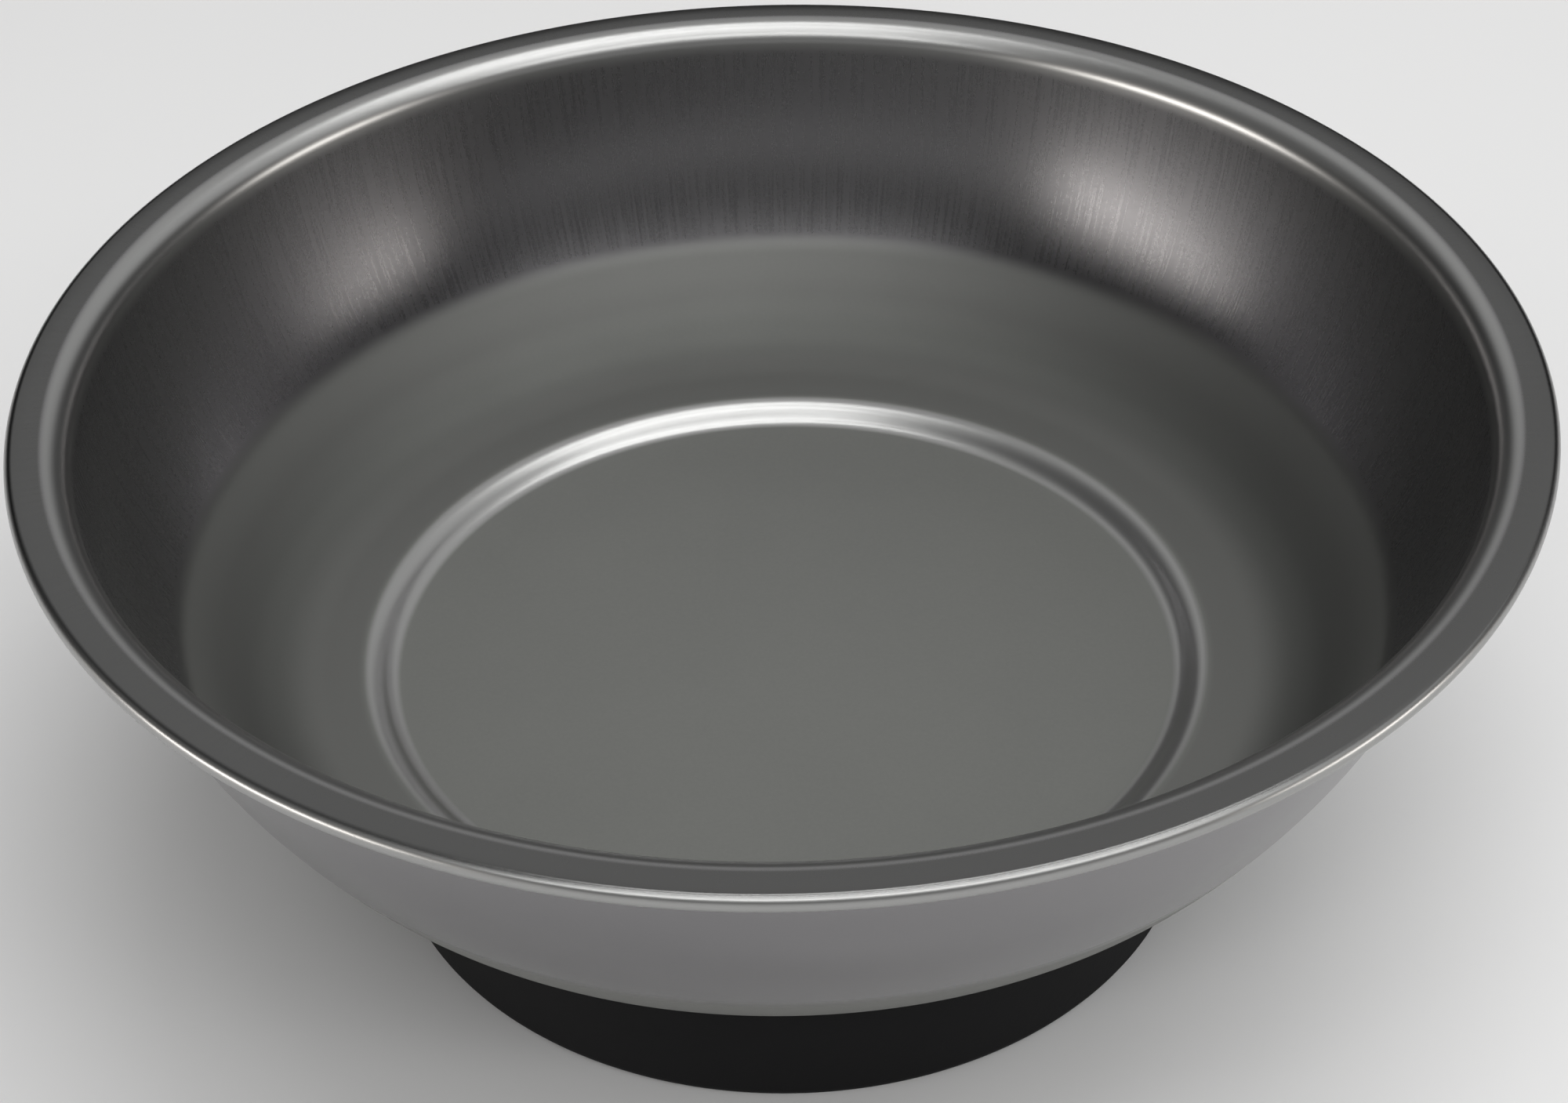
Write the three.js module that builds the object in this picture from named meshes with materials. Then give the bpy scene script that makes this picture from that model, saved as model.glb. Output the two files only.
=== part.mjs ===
// Round magnetic parts dish: a pressed steel bowl bonded to a ring magnet in a rubber boot.
// Millimetres, +Z up. The origin is the centre of the boot's underside, on the dish's axis.
import * as THREE from "three";

// Driving dimensions.
const rimRadius = 75; // outermost radius of the rolled rim
const rimTop = 58; // height of the rim above the surface that the dish stands on
const sheet = 0.8; // thickness of the stainless sheet
const gap = 0.3; // clearance between pieces that touch

const floorDepth = 34.5; // rim down to the top face of the annular floor
const recessStep = 1.8; // the round centre disc lies this much lower
const recessRadius = 40.1; // flat part of the centre disc
const lipRadius = 44.3; // where the step has levelled out into the annular floor
const floorRadius = 47.9; // where the floor starts to bend up into the wall
const bendRadius = 13.1; // tight bend at the foot of the wall, at the middle of the sheet
const bendSlope = 54; // degrees from level where the tight bend ends
const wallArc = 59.6; // wide curve of the wall above it
const wallSlope = 81.5; // degrees from level at the top of the wall
const rollRadius = 2.3; // bend from the wall out into the rim
const curlRadius = 0.55; // bend that folds the edge of the rim under
const hem = 1.2; // length of the folded edge

const bootRadius = 43; // widest radius of the rubber boot, just above the ground
const bootTopRadius = 42.5;
const bootFloor = 1.6; // rubber under the backing plate
const bootEdge = 1.2; // rounding at the boot's lower edge
const grooveRadii = [20, 31]; // grip grooves in the boot's underside
const grooveWidth = 2;
const grooveDepth = 0.6;

const magnetRadius = 35;
const magnetBore = 16;
const magnetHeight = 15;
const plateHeight = 2;
const bondHeight = 0.5; // adhesive under the dish
const bondRadius = 38;
const plateBondHeight = 0.3; // adhesive between the magnet and its backing plate

const around = 48; // facets around the axis

// Heights worked out from the driving dimensions, from the dish's underside down.
const rimMiddle = rimTop - sheet / 2;
const floorMiddle = rimTop - floorDepth - sheet / 2;
const recessMiddle = floorMiddle - recessStep;
const dishUnderside = recessMiddle - sheet / 2;
const bondTop = dishUnderside - gap;
const seat = bondTop - bondHeight - gap; // top of the magnet, and of the boot's rim inside its lip
const magnetBottom = seat - magnetHeight;
const plateBondTop = magnetBottom - gap;
const plateTop = plateBondTop - plateBondHeight - gap;

const degrees = Math.PI / 180;
const stepRadius = ((lipRadius - recessRadius) ** 2 + recessStep ** 2) / (4 * recessStep);
const stepTurn = Math.asin((lipRadius - recessRadius) / 2 / stepRadius);

const stainless = new THREE.MeshStandardMaterial({ color: 0x8c8a88, roughness: 0.34, metalness: 1 });
const rubber = new THREE.MeshStandardMaterial({ color: 0x17181a, roughness: 0.75, metalness: 0 });
const ferrite = new THREE.MeshStandardMaterial({ color: 0x3a3b3d, roughness: 0.6, metalness: 0.2 });
const plated = new THREE.MeshStandardMaterial({ color: 0xa9adb0, roughness: 0.4, metalness: 1 });
const adhesive = new THREE.MeshStandardMaterial({ color: 0xc9bf9c, roughness: 0.5, metalness: 0 });

// Turns a profile of (radius, height) points into a solid of revolution about Z.
function turned(name, profile, material) {
  const geometry = new THREE.LatheGeometry(profile, around);
  geometry.rotateX(Math.PI / 2);
  const mesh = new THREE.Mesh(geometry, material);
  mesh.name = name;
  return mesh;
}

// An arc's points about (x, y), from one angle to another.
function arc(x, y, radius, from, to, steps) {
  return Array.from({ length: steps + 1 }, (_, i) => {
    const angle = from + ((to - from) * i) / steps;
    return new THREE.Vector2(x + radius * Math.cos(angle), y + radius * Math.sin(angle));
  });
}

// The middle of the sheet, from the centre of the dish out to the end of the hem.
function dishMiddle() {
  const bend = bendSlope * degrees;
  const slope = wallSlope * degrees;
  const wallX = floorRadius + (bendRadius - wallArc) * Math.sin(bend);
  const wallY = floorMiddle + bendRadius + (wallArc - bendRadius) * Math.cos(bend);
  const rollStart = rimMiddle - rollRadius * (1 - Math.cos(slope));
  const wallTop = new THREE.Vector2(wallX + wallArc * Math.sin(slope), wallY - wallArc * Math.cos(slope));
  const collar = (rollStart - wallTop.y) / Math.tan(slope);
  const rollCentre = wallTop.x + collar + rollRadius * Math.sin(slope);
  const curlCentre = rimRadius - sheet / 2 - curlRadius;
  return [
    new THREE.Vector2(0, recessMiddle),
    ...arc(recessRadius, recessMiddle + stepRadius, stepRadius, -Math.PI / 2, stepTurn - Math.PI / 2, 3),
    ...arc(lipRadius, floorMiddle - stepRadius, stepRadius, Math.PI / 2 + stepTurn, Math.PI / 2, 3).slice(1),
    ...arc(floorRadius, floorMiddle + bendRadius, bendRadius, -Math.PI / 2, bend - Math.PI / 2, 5),
    ...arc(wallX, wallY, wallArc, bend - Math.PI / 2, slope - Math.PI / 2, 4).slice(1),
    ...arc(rollCentre, rimMiddle - rollRadius, rollRadius, Math.PI / 2 + slope, Math.PI / 2, 4),
    ...arc(curlCentre, rimMiddle - curlRadius, curlRadius, Math.PI / 2, -Math.PI / 2, 6),
    new THREE.Vector2(curlCentre - hem, rimMiddle - 2 * curlRadius),
  ];
}

// Moves each point of a line sideways, square to the line.
function beside(line, distance) {
  return line.map((point, i) => {
    const before = line[Math.max(i - 1, 0)];
    const after = line[Math.min(i + 1, line.length - 1)];
    const along = after.clone().sub(before).normalize();
    const moved = new THREE.Vector2(point.x - along.y * distance, point.y + along.x * distance);
    if (i === 0) moved.set(0, point.y + distance);
    return moved;
  });
}

function dish() {
  const middle = dishMiddle();
  const upper = beside(middle, sheet / 2);
  const under = beside(middle, -sheet / 2);
  return turned("dish", [...under, ...upper.reverse()], stainless);
}

// A flat ring or disc between two heights.
function washer(name, bore, radius, bottom, top, material) {
  const profile = [
    new THREE.Vector2(bore, bottom),
    new THREE.Vector2(radius, bottom),
    new THREE.Vector2(radius, top),
    new THREE.Vector2(bore, top),
  ];
  if (bore > 0) profile.push(profile[0].clone());
  return turned(name, profile, material);
}

// The boot: a rubber cup with a boss that centres the magnet, and a lip shaped to the dish.
function boot() {
  const point = (x, y) => new THREE.Vector2(x, y);
  const grooves = grooveRadii.flatMap((radius) => [
    point(radius - grooveWidth / 2, 0),
    point(radius - grooveWidth / 2, grooveDepth),
    point(radius + grooveWidth / 2, grooveDepth),
    point(radius + grooveWidth / 2, 0),
  ]);
  const lipArc = stepRadius + sheet / 2 + gap;
  const lipTurn = Math.asin((bootTopRadius - recessRadius) / lipArc);
  const lip = arc(recessRadius, recessMiddle + stepRadius, lipArc, lipTurn - Math.PI / 2, -Math.PI / 2, 3);
  const pocket = magnetRadius + gap;
  const boss = magnetBore - gap;
  const profile = [
    point(0, 0),
    ...grooves,
    ...arc(bootRadius - bootEdge, bootEdge, bootEdge, -Math.PI / 2, 0, 3),
    ...lip,
    point(bondRadius + gap, bondTop),
    point(bondRadius + gap, seat),
    point(pocket, seat),
    point(pocket, bootFloor),
    point(boss, bootFloor),
    point(boss, seat),
    point(0, seat),
  ];
  return turned("rubber_boot", profile, rubber);
}

const tray = new THREE.Group();
tray.add(
  dish(),
  washer("dish_bond", 0, bondRadius, bondTop - bondHeight, bondTop, adhesive),
  washer("ring_magnet", magnetBore, magnetRadius, magnetBottom, seat, ferrite),
  washer("plate_bond", magnetBore, magnetRadius, plateBondTop - plateBondHeight, plateBondTop, adhesive),
  washer("backing_plate", magnetBore, magnetRadius, plateTop - plateHeight, plateTop, plated),
  boot(),
);
export default tray;
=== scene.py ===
"""A round magnetic parts dish: a pressed stainless bowl bonded to a ring magnet in a rubber boot."""
import math

import bmesh
import bpy
from mathutils import Matrix, Vector


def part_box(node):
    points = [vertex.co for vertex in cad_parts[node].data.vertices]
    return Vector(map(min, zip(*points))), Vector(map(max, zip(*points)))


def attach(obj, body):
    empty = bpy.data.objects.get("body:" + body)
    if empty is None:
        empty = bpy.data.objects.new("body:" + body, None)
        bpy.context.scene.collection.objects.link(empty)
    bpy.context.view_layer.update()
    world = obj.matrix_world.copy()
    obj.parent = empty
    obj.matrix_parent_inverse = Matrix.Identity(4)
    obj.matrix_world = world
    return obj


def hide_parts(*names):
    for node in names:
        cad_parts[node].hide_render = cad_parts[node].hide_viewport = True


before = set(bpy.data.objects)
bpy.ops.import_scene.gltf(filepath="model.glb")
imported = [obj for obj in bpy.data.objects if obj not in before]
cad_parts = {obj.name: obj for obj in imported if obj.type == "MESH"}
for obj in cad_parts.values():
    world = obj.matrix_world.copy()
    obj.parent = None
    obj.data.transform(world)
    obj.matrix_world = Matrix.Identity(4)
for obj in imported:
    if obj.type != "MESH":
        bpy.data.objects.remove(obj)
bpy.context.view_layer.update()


# ---- Dish ---------------------------------------------------------------------------------------
# One stainless pressing, 0.8 mm thick, with a round centre disc punched 1.8 mm down and a wall drawn
# up in a wide curve. The edge is turned out into a flat rim and hemmed under so that it isn't sharp.
# The floor ring is matt, the wall has fine drawing marks, and the press burnishes the tight bends. Painted
# shade darkens the floor ring and the flat of the rim, and the bends' lighter tone is partly painted
# highlight.
MM = 0.001
RIM_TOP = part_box("dish")[1][2]
RIM_RADIUS = 75 * MM
SHEET = 0.8 * MM
FLOOR_DEPTH = 34.5 * MM
RIM_MIDDLE = RIM_TOP - SHEET / 2
FLOOR_MIDDLE = RIM_MIDDLE - FLOOR_DEPTH
RECESS_STEP = 1.8 * MM
RECESS_MIDDLE = FLOOR_MIDDLE - RECESS_STEP
RECESS_RADIUS = 40.1 * MM
LIP_RADIUS = 44.3 * MM
FLOOR_RADIUS = 47.9 * MM
BEND_RADIUS = 13.1 * MM
BEND_SLOPE = math.radians(54)
WALL_ARC = 59.6 * MM
WALL_SLOPE = math.radians(81.5)
ROLL_RADIUS = 2.3 * MM
CURL_RADIUS = 0.55 * MM
HEM = 1.2 * MM
STEP_REACH = LIP_RADIUS - RECESS_RADIUS
STEP_RADIUS = (STEP_REACH**2 + RECESS_STEP**2) / (4 * RECESS_STEP)
TURNS_FINE = 240
MERGE_DISTANCE = 0.001 * MM


def line_to(bm, last, radius, height):
    """Carries an outline on to a point, and returns that point."""
    new = bmesh.ops.extrude_vert_indiv(bm, verts=[last])["verts"][0]
    new.co = (radius, 0, height)
    return new


def arc_on(bm, last, radius, height, turn, steps):
    """Carries an outline on round a centre. A positive turn is anticlockwise with +X to the right."""
    swept = bmesh.ops.spin(
        bm, geom=[last], cent=(radius, 0, height), axis=(0, -1, 0), angle=turn, steps=steps
    )
    return next(item for item in swept["geom_last"] if isinstance(item, bmesh.types.BMVert))


def turn_about_axis(bm, steps):
    """Spins the outline once round Z, and closes its seam and its poles."""
    bmesh.ops.spin(
        bm,
        geom=bm.verts[:] + bm.edges[:],
        cent=(0, 0, 0),
        axis=(0, 0, 1),
        angle=math.tau,
        steps=steps,
        use_merge=True,
    )
    bmesh.ops.remove_doubles(bm, verts=bm.verts, dist=MERGE_DISTANCE)
    bmesh.ops.recalc_face_normals(bm, faces=bm.faces)


def make_piece(name, bm, material, node):
    """A finished piece, which rides on the body and stands for its CAD node."""
    mesh = bpy.data.meshes.new(name)
    for face in bm.faces:
        face.smooth = True
    bm.to_mesh(mesh)
    bm.free()
    mesh.materials.append(material)
    piece = bpy.data.objects.new(name, mesh)
    bpy.context.scene.collection.objects.link(piece)
    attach(piece, "root")
    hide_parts(node)
    return piece


def finish_edges(piece, width, segments, angle):
    """Breaks a piece's sharp edges, which are those that turn by more than the angle in degrees."""
    bevel = piece.modifiers.new("edge", "BEVEL")
    bevel.width = width
    bevel.segments = segments
    bevel.limit_method = "ANGLE"
    bevel.angle_limit = math.radians(angle)


def node_maker(material_name):
    """A new node material. Returns it with a function that adds a node and sets or links its inputs.

    An input is named with _ for a space, or numbered as i0, i1 and so on.
    """
    material = bpy.data.materials.new(material_name)
    material.use_nodes = True
    tree = material.node_tree
    tree.nodes.clear()

    def add(kind, settings=None, **inputs):
        node = tree.nodes.new(kind)
        for key, value in (settings or {}).items():
            setattr(node, key, value)
        for key, value in inputs.items():
            numbered = key[0] == "i" and key[1:].isdigit()
            socket = node.inputs[int(key[1:]) if numbered else key.replace("_", " ")]
            if isinstance(value, bpy.types.NodeSocket):
                tree.links.new(value, socket)
            else:
                socket.default_value = value
        return node

    return material, add


def spread(add, value, low, high):
    """Stretches a 0 to 1 pattern to run from low to high."""
    return add("ShaderNodeMapRange", i0=value, i3=low, i4=high).outputs[0]


def fade(add, value, start, end):
    """0 before start and 1 past end, with a smooth change between."""
    return add(
        "ShaderNodeMapRange", {"interpolation_type": "SMOOTHSTEP"}, i0=value, i1=start, i2=end
    ).outputs[0]


def blend_values(add, amount, first, second):
    """The first value where the amount is 0, and the second where it is 1."""
    return add("ShaderNodeMix", {"data_type": "FLOAT"}, i0=amount, i2=first, i3=second).outputs[0]


def blend_colours(add, amount, first, second):
    """The first colour where the amount is 0, and the second where it is 1."""
    settings = {"data_type": "RGBA"}
    return add("ShaderNodeMix", settings, i0=amount, i6=first, i7=second).outputs[2]


def calculate(add, operation, first, second):
    """The result of a sum on two values."""
    return add("ShaderNodeMath", {"operation": operation}, i0=first, i1=second).outputs[0]


def scale_and_add(add, value, factor, offset):
    """The value times the factor, plus the offset."""
    settings = {"operation": "MULTIPLY_ADD"}
    return add("ShaderNodeMath", settings, i0=value, i1=factor, i2=offset).outputs[0]


def roughen(add, depth, strength, height, **under):
    """A bump from a pattern, as deep as is given, over the bump under it if there is one."""
    return add("ShaderNodeBump", Strength=strength, Distance=depth, Height=height, **under).outputs[0]


WALL_FOOT = 61.3 * MM  # where the matt floor ring ends and the drawn wall starts
ROLL_EDGE = 71.4 * MM  # where the roll has levelled out into the flat of the rim
# The painted shade on the floor ring starts at the first of these, is darkest at the second, and gives way
# to painted light from the third.
TURN_UP = (48 * MM, 53 * MM, 55 * MM)  # on the floor ring: first darkening, darkest, paler again
WALL_RISE = 0.4  # how much the height counts in the drawing marks' pattern; less makes them longer
FLOOR_ROUGHNESS = (0.56, 0.64)
WALL_ROUGHNESS = (0.19, 0.32)
STEP_ROUGHNESS = (0.25, 0.31)
RIM_ROUGHNESS = (0.27, 0.34)
DISC_TONES = ((0.242, 0.246, 0.232, 1), (0.216, 0.22, 0.21, 1))
# Painted shade on the floor ring, darkest where it turns up, and painted light at the wall's foot.
RING_PAINTED_SHADE = (0.18, 0.182, 0.174, 1)
TURN_UP_PAINTED_SHADE = (0.125, 0.127, 0.121, 1)
FOOT_PAINTED_LIGHT = (0.23, 0.232, 0.222, 1)
WALL_TONES = ((0.228, 0.224, 0.232, 1), (0.252, 0.246, 0.25, 1))
# Painted shade on the flat of the rim.
FLAT_PAINTED_SHADE = (0.135, 0.135, 0.133, 1)
# Partly burnish and partly painted highlight: the step, roll and edge are lighter than the rest of the
# sheet.
STEP_BURNISH_AND_HIGHLIGHT_TONE = (0.38, 0.38, 0.375, 1)
BURNISH_AND_HIGHLIGHT_TONE = (0.36, 0.36, 0.355, 1)


def satin_stainless():
    """Bare stainless: a grained disc, a matt ring with painted shade, a drawn wall, a rim flat with painted
    shade and burnished bends lightened partly as painted highlight, by their places.
    """
    material, add = node_maker("satin_stainless")
    place = add("ShaderNodeTexCoord").outputs["Object"]
    apart = add("ShaderNodeSeparateXYZ", i0=place).outputs
    # The direction out from the axis: a pattern on it runs up the wall and has no seam.
    level = add("ShaderNodeCombineXYZ", i0=apart["X"], i1=apart["Y"]).outputs[0]
    outward = add("ShaderNodeVectorMath", {"operation": "NORMALIZE"}, i0=level).outputs[0]
    radius = add("ShaderNodeVectorMath", {"operation": "LENGTH"}, i0=level).outputs["Value"]
    rising = add("ShaderNodeCombineXYZ", i2=calculate(add, "MULTIPLY", apart["Z"], WALL_RISE)).outputs[0]
    along = add("ShaderNodeVectorMath", {"operation": "ADD"}, i0=outward, i1=rising).outputs[0]
    normal = add("ShaderNodeNewGeometry").outputs["Normal"]
    compared = add("ShaderNodeVectorMath", {"operation": "DOT_PRODUCT"}, i0=outward, i1=normal)
    faces_out = compared.outputs["Value"]
    drawn = add("ShaderNodeTexNoise", Vector=along, Scale=190.0, Detail=3.0, Roughness=0.6).outputs[0]
    grain = add("ShaderNodeTexNoise", Vector=place, Scale=2600.0, Detail=2.0, Roughness=0.6).outputs[0]
    clouds = add("ShaderNodeTexNoise", Vector=place, Scale=38.0, Detail=4.0, Roughness=0.55).outputs[0]
    dents = add("ShaderNodeTexNoise", Vector=place, Scale=26.0, Detail=1.0).outputs[0]

    # The zones. The press burnishes the sheet where it works it hardest: the step, the roll, the edge.
    # Their lighter tone below is partly painted highlight.
    on_wall = fade(add, radius, WALL_FOOT - 0.7 * MM, WALL_FOOT + 0.8 * MM)
    past_recess = fade(add, radius, RECESS_RADIUS + 0.1 * MM, RECESS_RADIUS + 0.9 * MM)
    inside_lip = fade(add, radius, LIP_RADIUS - 0.2 * MM, LIP_RADIUS - 1.0 * MM)
    on_step = calculate(add, "MULTIPLY", past_recess, inside_lip)
    past_lip = fade(add, radius, LIP_RADIUS - 0.8 * MM, LIP_RADIUS + 0.4 * MM)
    floor_ring = calculate(add, "SUBTRACT", past_lip, on_wall)
    near_top = fade(add, apart["Z"], RIM_MIDDLE - 3.2 * MM, RIM_MIDDLE - 1.6 * MM)
    inside_flat = fade(add, radius, ROLL_EDGE + 0.4 * MM, ROLL_EDGE - 0.5 * MM)
    on_roll = calculate(add, "MULTIPLY", near_top, inside_flat)
    on_flat = fade(add, radius, ROLL_EDGE - 0.2 * MM, ROLL_EDGE + 0.4 * MM)
    on_edge = fade(add, radius, RIM_RADIUS - 0.6 * MM, RIM_RADIUS - 0.3 * MM)
    at_top = calculate(add, "MAXIMUM", on_roll, on_edge)

    # The tone. The floor ring has painted shade, darkest where it starts to turn up, and painted light at
    # the wall's foot.
    speckle = scale_and_add(add, grain, 0.5, spread(add, clouds, -0.15, 0.65))
    disc_tone = blend_colours(add, speckle, *DISC_TONES)
    painted_shade_deepening = fade(add, radius, TURN_UP[0], TURN_UP[1])
    painted_light_rising = fade(add, radius, TURN_UP[2], WALL_FOOT)
    ring_painted_shade_and_light = blend_colours(add, painted_light_rising, blend_colours(add, painted_shade_deepening, RING_PAINTED_SHADE, TURN_UP_PAINTED_SHADE), FOOT_PAINTED_LIGHT)
    walled_tone = blend_colours(add, on_wall, disc_tone, blend_colours(add, clouds, *WALL_TONES))
    ringed_tone = blend_colours(add, floor_ring, walled_tone, ring_painted_shade_and_light)
    # Painted shade darkens the flat of the rim.
    tone_with_flat_shade = blend_colours(add, on_flat, ringed_tone, FLAT_PAINTED_SHADE)
    # The step, roll and edge are lighter, partly burnish and partly painted highlight.
    colour = blend_colours(add, at_top, blend_colours(add, on_step, tone_with_flat_shade, STEP_BURNISH_AND_HIGHLIGHT_TONE), BURNISH_AND_HIGHLIGHT_TONE)

    # The roughness. Drawing marks show on the inner wall and only faintly on the outer one.
    showing = add("ShaderNodeMapRange", i0=faces_out, i1=0.1, i2=-0.1, i3=0.25, i4=1.0).outputs[0]
    marks = calculate(add, "MULTIPLY", drawn, calculate(add, "MULTIPLY", on_wall, showing))
    ground = spread(add, clouds, *FLOOR_ROUGHNESS)
    walled = blend_values(add, on_wall, ground, spread(add, marks, *WALL_ROUGHNESS))
    punched = blend_values(add, on_step, walled, spread(add, clouds, *STEP_ROUGHNESS))
    worked = blend_values(add, at_top, punched, spread(add, clouds, *RIM_ROUGHNESS))

    # The burnished parts and the edges beside the step are too smooth to show the grain.
    past_disc = fade(add, radius, RECESS_RADIUS - 1.2 * MM, RECESS_RADIUS - 0.4 * MM)
    inside_ring = fade(add, radius, LIP_RADIUS + 1.0 * MM, LIP_RADIUS + 0.2 * MM)
    smooth = calculate(add, "MAXIMUM", calculate(add, "MULTIPLY", past_disc, inside_ring), at_top)
    gritty = blend_values(add, smooth, grain, 0.5)
    wavy = roughen(add, 0.25 * MM, 1.0, dents)
    scored = roughen(add, 0.005 * MM, 0.5, marks, Normal=wavy)
    steel = add(
        "ShaderNodeBsdfPrincipled",
        Base_Color=colour,
        Metallic=1.0,
        Roughness=scale_and_add(add, gritty, 0.05, worked),
        Normal=roughen(add, 0.008 * MM, 0.5, gritty, Normal=scored),
    ).outputs[0]
    add("ShaderNodeOutputMaterial", Surface=steel)
    return material


def dish_mesh():
    """The middle of the sheet, drawn from the centre of the disc out to the end of the hem."""
    bm = bmesh.new()
    last = bmesh.ops.create_vert(bm, co=(0, 0, RECESS_MIDDLE))["vert"][0]
    for share in (0.3, 0.6, 0.9, 1.0):
        last = line_to(bm, last, share * RECESS_RADIUS, RECESS_MIDDLE)
    step_turn = math.asin(STEP_REACH / 2 / STEP_RADIUS)
    last = arc_on(bm, last, RECESS_RADIUS, RECESS_MIDDLE + STEP_RADIUS, step_turn, 10)
    last = arc_on(bm, last, LIP_RADIUS, FLOOR_MIDDLE - STEP_RADIUS, -step_turn, 10)
    last = line_to(bm, last, FLOOR_RADIUS, FLOOR_MIDDLE)

    # A tight bend, then a wide curve that starts where the bend ends.
    last = arc_on(bm, last, FLOOR_RADIUS, FLOOR_MIDDLE + BEND_RADIUS, BEND_SLOPE, 16)
    wall_radius = last.co.x - WALL_ARC * math.sin(BEND_SLOPE)
    wall_height = last.co.z + WALL_ARC * math.cos(BEND_SLOPE)
    last = arc_on(bm, last, wall_radius, wall_height, WALL_SLOPE - BEND_SLOPE, 26)

    # A short straight stretch, the roll outwards, the flat, and the hem folded back under it.
    roll_start = RIM_MIDDLE - ROLL_RADIUS * (1 - math.cos(WALL_SLOPE))
    last = line_to(bm, last, last.co.x + (roll_start - last.co.z) / math.tan(WALL_SLOPE), roll_start)
    roll_centre = last.co.x + ROLL_RADIUS * math.sin(WALL_SLOPE)
    last = arc_on(bm, last, roll_centre, RIM_MIDDLE - ROLL_RADIUS, -WALL_SLOPE, 12)
    curl_centre = RIM_RADIUS - SHEET / 2 - CURL_RADIUS
    last = line_to(bm, last, (roll_centre + curl_centre) / 2, RIM_MIDDLE)
    last = line_to(bm, last, curl_centre, RIM_MIDDLE)
    last = arc_on(bm, last, curl_centre, RIM_MIDDLE - CURL_RADIUS, -math.pi, 12)
    line_to(bm, last, curl_centre - HEM, RIM_MIDDLE - 2 * CURL_RADIUS)
    turn_about_axis(bm, TURNS_FINE)
    return bm


dish = make_piece("dish_pressing", dish_mesh(), satin_stainless(), "dish")
thickness = dish.modifiers.new("sheet", "SOLIDIFY")
thickness.thickness = SHEET
thickness.offset = 0
thickness.use_even_offset = True
finish_edges(dish, 0.15 * MM, 2, 50)


# ---- Rubber boot --------------------------------------------------------------------------------
# A moulded black rubber cup. It takes the magnet and its plate, a boss inside it centres them, and
# its lip is shaped to the dish's underside. Two shallow grooves help its base to grip.
BOOT_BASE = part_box("rubber_boot")[0][2]
BOOT_RADIUS = 43 * MM
BOOT_TOP_RADIUS = 42.5 * MM
BOOT_FLOOR = 1.6 * MM
BOOT_EDGE = 1.2 * MM
GROOVE_RADII = (20 * MM, 31 * MM)
GROOVE_WIDTH = 2 * MM
GROOVE_DEPTH = 0.6 * MM
GAP = 0.3 * MM
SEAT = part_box("ring_magnet")[1][2]
MAGNET_RADIUS = 35 * MM
MAGNET_BORE = 16 * MM
BOND_RADIUS = 38 * MM
RUBBER_TONES = ((0.0028, 0.0029, 0.0033, 1), (0.0055, 0.0055, 0.006, 1))
RUBBER_ROUGHNESS = (0.6, 0.78)


def moulded_rubber():
    """Matt black rubber with a fine pebbled skin and a faint uneven bloom."""
    material, add = node_maker("moulded_rubber")
    place = add("ShaderNodeTexCoord").outputs["Object"]
    grain = add("ShaderNodeTexNoise", Vector=place, Scale=1900.0, Detail=3.0, Roughness=0.6).outputs[0]
    bloom = add("ShaderNodeTexNoise", Vector=place, Scale=45.0, Detail=5.0, Roughness=0.6).outputs[0]
    rubber = add(
        "ShaderNodeBsdfPrincipled",
        Base_Color=blend_colours(add, bloom, *RUBBER_TONES),
        Roughness=spread(add, bloom, *RUBBER_ROUGHNESS),
        Normal=roughen(add, 0.03 * MM, 0.6, grain),
        Specular_IOR_Level=0.2,
    ).outputs[0]
    add("ShaderNodeOutputMaterial", Surface=rubber)
    return material


def boot_mesh():
    """The boot's outline: along the grooved base, up the outside, over the lip and into the pocket."""
    bm = bmesh.new()
    last = bmesh.ops.create_vert(bm, co=(0, 0, BOOT_BASE))["vert"][0]
    for groove in GROOVE_RADII:
        inner, outer = groove - GROOVE_WIDTH / 2, groove + GROOVE_WIDTH / 2
        last = line_to(bm, last, inner, BOOT_BASE)
        last = line_to(bm, last, inner + GROOVE_DEPTH / 2, BOOT_BASE + GROOVE_DEPTH)
        last = line_to(bm, last, outer - GROOVE_DEPTH / 2, BOOT_BASE + GROOVE_DEPTH)
        last = line_to(bm, last, outer, BOOT_BASE)
    last = line_to(bm, last, BOOT_RADIUS - BOOT_EDGE, BOOT_BASE)
    last = arc_on(bm, last, BOOT_RADIUS - BOOT_EDGE, BOOT_BASE + BOOT_EDGE, math.pi / 2, 8)

    # The lip follows the underside of the dish's step, a gap below it.
    step_centre = RECESS_MIDDLE + STEP_RADIUS
    lip_radius = STEP_RADIUS + SHEET / 2 + GAP
    lip_turn = math.asin((BOOT_TOP_RADIUS - RECESS_RADIUS) / lip_radius)
    last = line_to(bm, last, BOOT_TOP_RADIUS, step_centre - lip_radius * math.cos(lip_turn))
    last = arc_on(bm, last, RECESS_RADIUS, step_centre, -lip_turn, 8)
    last = line_to(bm, last, BOND_RADIUS + GAP, RECESS_MIDDLE - SHEET / 2 - GAP)
    last = line_to(bm, last, BOND_RADIUS + GAP, SEAT)
    pocket, boss, floor = MAGNET_RADIUS + GAP, MAGNET_BORE - GAP, BOOT_BASE + BOOT_FLOOR
    for radius, height in ((pocket, SEAT), (pocket, floor), (boss, floor), (boss, SEAT), (0, SEAT)):
        last = line_to(bm, last, radius, height)
    turn_about_axis(bm, TURNS_FINE)
    return bm


boot = make_piece("boot", boot_mesh(), moulded_rubber(), "rubber_boot")
finish_edges(boot, 0.2 * MM, 3, 30)


# ---- Magnet, plate and adhesive -----------------------------------------------------------------
# A sintered ferrite ring lies in the boot on a zinc plated steel ring that turns its field back up.
# A film of epoxy joins the two, and a wider one joins the magnet and the boot to the dish.
TURNS_PLAIN = 120


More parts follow.
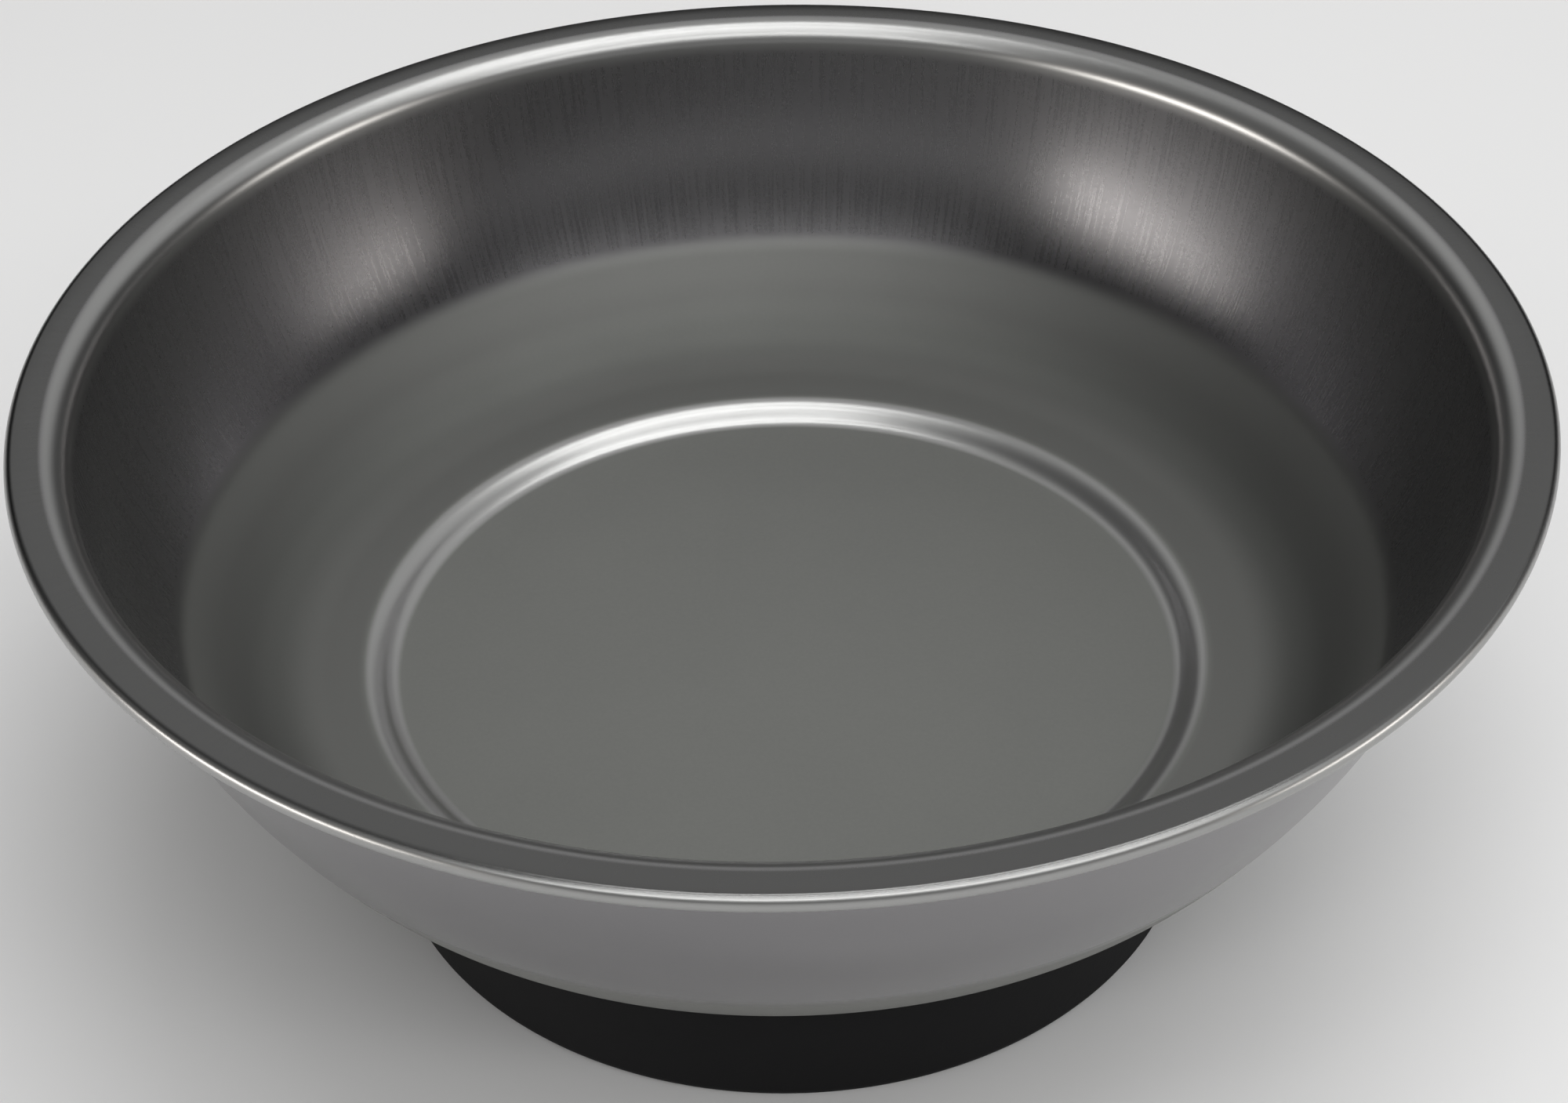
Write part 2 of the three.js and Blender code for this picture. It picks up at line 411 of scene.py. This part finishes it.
def sintered_ferrite():
    """Dark grey ceramic, gritty and pitted, with faint grinding lines."""
    material, add = node_maker("sintered_ferrite")
    place = add("ShaderNodeTexCoord").outputs["Object"]
    grit = add("ShaderNodeTexNoise", Vector=place, Scale=1500.0, Detail=5.0, Roughness=0.7).outputs[0]
    ground = add("ShaderNodeTexWave", Vector=place, Scale=300.0, Distortion=1.5, Detail=2.0).outputs[0]
    ferrite = add(
        "ShaderNodeBsdfPrincipled",
        Base_Color=blend_colours(add, grit, (0.035, 0.035, 0.038, 1), (0.085, 0.084, 0.086, 1)),
        Metallic=0.25,
        Roughness=spread(add, ground, 0.45, 0.65),
        Normal=roughen(add, 0.05 * MM, 0.5, grit),
    ).outputs[0]
    add("ShaderNodeOutputMaterial", Surface=ferrite)
    return material


def zinc_plate():
    """Bright zinc over steel, with a fine spangle."""
    material, add = node_maker("zinc_plate")
    place = add("ShaderNodeTexCoord").outputs["Object"]
    grain = add("ShaderNodeTexNoise", Vector=place, Scale=900.0, Detail=3.0).outputs[0]
    spangle = add("ShaderNodeTexVoronoi", Vector=place, Scale=160.0).outputs["Distance"]
    plate = add(
        "ShaderNodeBsdfPrincipled",
        Base_Color=blend_colours(add, spangle, (0.52, 0.53, 0.55, 1), (0.62, 0.62, 0.61, 1)),
        Metallic=1.0,
        Roughness=spread(add, grain, 0.28, 0.44),
        Normal=roughen(add, 0.01 * MM, 0.3, grain),
    ).outputs[0]
    add("ShaderNodeOutputMaterial", Surface=plate)
    return material


def cured_epoxy():
    """Cloudy amber adhesive with a flowed surface."""
    material, add = node_maker("cured_epoxy")
    place = add("ShaderNodeTexCoord").outputs["Object"]
    flow = add("ShaderNodeTexNoise", Vector=place, Scale=120.0, Detail=4.0, Distortion=0.8).outputs[0]
    cured = add(
        "ShaderNodeBsdfPrincipled",
        Base_Color=blend_colours(add, flow, (0.5, 0.45, 0.3, 1), (0.62, 0.57, 0.42, 1)),
        Roughness=spread(add, flow, 0.25, 0.5),
        Normal=roughen(add, 0.05 * MM, 0.4, flow),
    ).outputs[0]
    add("ShaderNodeOutputMaterial", Surface=cured)
    return material


def ring_mesh(node, bore):
    """A disc, or a ring where it has a bore, that fills its CAD node's height and width."""
    low, high = (Vector(corner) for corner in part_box(node))
    bm = bmesh.new()
    last = start = bmesh.ops.create_vert(bm, co=(bore, 0, low.z))["vert"][0]
    for radius, height in ((high.y, low.z), (high.y, high.z), (bore, high.z)):
        last = line_to(bm, last, radius, height)
    if bore > 0:
        bm.edges.new((last, start))
    turn_about_axis(bm, TURNS_PLAIN)
    return bm


epoxy = cured_epoxy()
for name, node, bore, edge_break, material, slot in (
    ("magnet", "ring_magnet", MAGNET_BORE, 0.5 * MM, sintered_ferrite(), "ferrite"),
    ("steel_ring", "backing_plate", MAGNET_BORE, 0.25 * MM, zinc_plate(), "plated_steel"),
    ("upper_epoxy", "dish_bond", 0, 0.12 * MM, epoxy, "adhesive"),
    ("lower_epoxy", "plate_bond", MAGNET_BORE, 0.1 * MM, epoxy, "adhesive"),
):
    piece = make_piece(name, ring_mesh(node, bore), material, node)
    finish_edges(piece, edge_break, 2, 50)


# ---- Bench and studio ---------------------------------------------------------------------------
# A pale matt bench top. Three soft strip lights hang over the dish and one in front of it, and two
# low warm ones stand well out at its sides. The room has a pale ceiling and is dim at left and front.
BENCH_SIDE = 4.0
BENCH_DROP = 0.05 * MM  # how far the bench lies below the boot, so that the two surfaces don't meet
WARM = (1.0, 0.96, 0.92)


def pale_bench():
    """A matt, nearly white top with a faint mottle."""
    material, add = node_maker("pale_bench")
    place = add("ShaderNodeTexCoord").outputs["Object"]
    mottle = add("ShaderNodeTexNoise", Vector=place, Scale=6.0, Detail=3.0).outputs[0]
    tone = blend_colours(add, mottle, (0.78, 0.78, 0.78, 1), (0.82, 0.82, 0.82, 1))
    top = add("ShaderNodeBsdfPrincipled", Base_Color=tone, Roughness=0.9, Specular_IOR_Level=0.1).outputs[0]
    add("ShaderNodeOutputMaterial", Surface=top)
    return material


bench_bm = bmesh.new()
bmesh.ops.create_grid(bench_bm, x_segments=1, y_segments=1, size=BENCH_SIDE / 2)
bmesh.ops.translate(bench_bm, vec=(0, 0, BOOT_BASE - BENCH_DROP), verts=bench_bm.verts)
bench_mesh = bpy.data.meshes.new("bench")
bench_bm.to_mesh(bench_mesh)
bench_bm.free()
bench_mesh.materials.append(pale_bench())
bench = bpy.data.objects.new("bench", bench_mesh)
bpy.context.scene.collection.objects.link(bench)


def strip_light(name, start, end, height, power, colour=(1, 1, 1)):
    """A long soft light between two points, turned to face the middle of the dish's floor."""
    start, end = Vector(start), Vector(end)
    light = bpy.data.lights.new(name, "AREA")
    light.shape = "RECTANGLE"
    light.size = (end - start).length
    light.size_y = height
    light.energy = power
    light.color = colour
    lamp = bpy.data.objects.new(name, light)
    middle = (start + end) / 2
    along = (end - start).normalized()
    across = (middle - Vector((0, 0, FLOOR_MIDDLE))).cross(along).normalized()
    facing = Matrix((along, across, along.cross(across))).transposed().to_4x4()
    lamp.matrix_world = Matrix.Translation(middle) @ facing
    bpy.context.scene.collection.objects.link(lamp)


strip_light("overhead_strip", (-0.2, 0.1, 1.0), (0.5, 0.26, 1.0), 0.12, 1.7)
strip_light("middle_strip", (-0.26, -0.22, 1.0), (0.66, 0.0, 1.0), 0.12, 2.2)
strip_light("high_strip", (-0.37, -0.54, 1.0), (0.86, -0.27, 1.0), 0.1, 2.0)
strip_light("front_strip", (-0.6, -0.85, 0.84), (0.95, -0.68, 0.84), 0.13, 3.9)
strip_light("right_fill", (2.3, -1.04, 0.32), (2.56, 0.0, 0.32), 0.4, 10.4, WARM)
strip_light("left_fill", (-1.96, -1.6, 0.32), (-2.56, -0.04, 0.32), 0.4, 18.4, WARM)

# How bright the room is at each angle above level, in degrees, before it is dimmed to one side.
CEILING_BANDS = ((0, 0.0), (23, 0.0), (30, 0.68), (50, 0.64), (68, 0.32), (90, 0.32))


def dim_room():
    """A room with a pale ceiling, dimmer at the left and in front, and a pale wall low in front."""
    room = bpy.data.worlds.new("room")
    room.use_nodes = True
    nodes, links = room.node_tree.nodes, room.node_tree.links

    def band(value, start, end, low, high):
        """Low before start and high past end, with a smooth change between."""
        node = nodes.new("ShaderNodeMapRange")
        node.interpolation_type = "SMOOTHSTEP"
        for index, number in enumerate((start, end, low, high), 1):
            node.inputs[index].default_value = number
        links.new(value, node.inputs[0])
        return node.outputs[0]

    def combine(operation, first, second):
        """The result of a sum on two values."""
        node = nodes.new("ShaderNodeMath")
        node.operation = operation
        links.new(first, node.inputs[0])
        links.new(second, node.inputs[1])
        return node.outputs[0]

    direction = nodes.new("ShaderNodeTexCoord").outputs["Generated"]
    apart = nodes.new("ShaderNodeSeparateXYZ")
    links.new(direction, apart.inputs[0])
    across, deep, up = apart.outputs
    ceiling = nodes.new("ShaderNodeValToRGB")
    ceiling.color_ramp.interpolation = "EASE"
    stops = ceiling.color_ramp.elements
    while len(stops) < len(CEILING_BANDS):
        stops.new(0.5)
    for stop, (angle, level) in zip(stops, CEILING_BANDS):
        stop.position = math.sin(math.radians(angle))
        stop.color = (level, level, level, 1)
    links.new(up, ceiling.inputs[0])
    dim_left, dim_front = band(across, -0.65, -0.25, 0.25, 1.0), band(deep, -0.75, -0.3, 0.5, 1.0)
    high = combine("MULTIPLY", ceiling.outputs[0], combine("MULTIPLY", dim_left, dim_front))
    low_wall, in_front = band(up, 0.14, 0.27, 0.55, 0.03), band(deep, -0.8, -0.4, 1.0, 0.2)
    low = combine("MULTIPLY", low_wall, in_front)
    links.new(combine("ADD", high, low), nodes["Background"].inputs["Color"])
    return room


bpy.context.scene.world = dim_room()
bpy.context.scene.view_settings.view_transform = "Standard"


# ---- Camera -------------------------------------------------------------------------------------
# It stands a little over four rim radii from the rim's centre and looks down into the bowl, aimed
# just below that centre and leaning slightly to one side.
CAMERA_DISTANCE = 4.11 * RIM_RADIUS
CAMERA_HEIGHT_ANGLE = math.radians(34.47)
CAMERA_DROP = math.radians(3.27)
CAMERA_LEAN = math.radians(1.17)
SENSOR_WIDTH = 36
FOCAL_LENGTH = 72
rim_centre = Vector((0, 0, RIM_MIDDLE - CURL_RADIUS))

camera_data = bpy.data.cameras.new("camera")
camera_data.sensor_width = SENSOR_WIDTH
camera_data.lens = FOCAL_LENGTH
camera = bpy.data.objects.new("camera", camera_data)
away = Vector((0, -math.cos(CAMERA_HEIGHT_ANGLE), math.sin(CAMERA_HEIGHT_ANGLE)))
stand = rim_centre + CAMERA_DISTANCE * away
looking = Matrix.Rotation(math.pi / 2 - CAMERA_HEIGHT_ANGLE - CAMERA_DROP, 4, "X")
camera.matrix_world = Matrix.Translation(stand) @ looking @ Matrix.Rotation(-CAMERA_LEAN, 4, "Z")
bpy.context.scene.collection.objects.link(camera)
bpy.context.scene.camera = camera
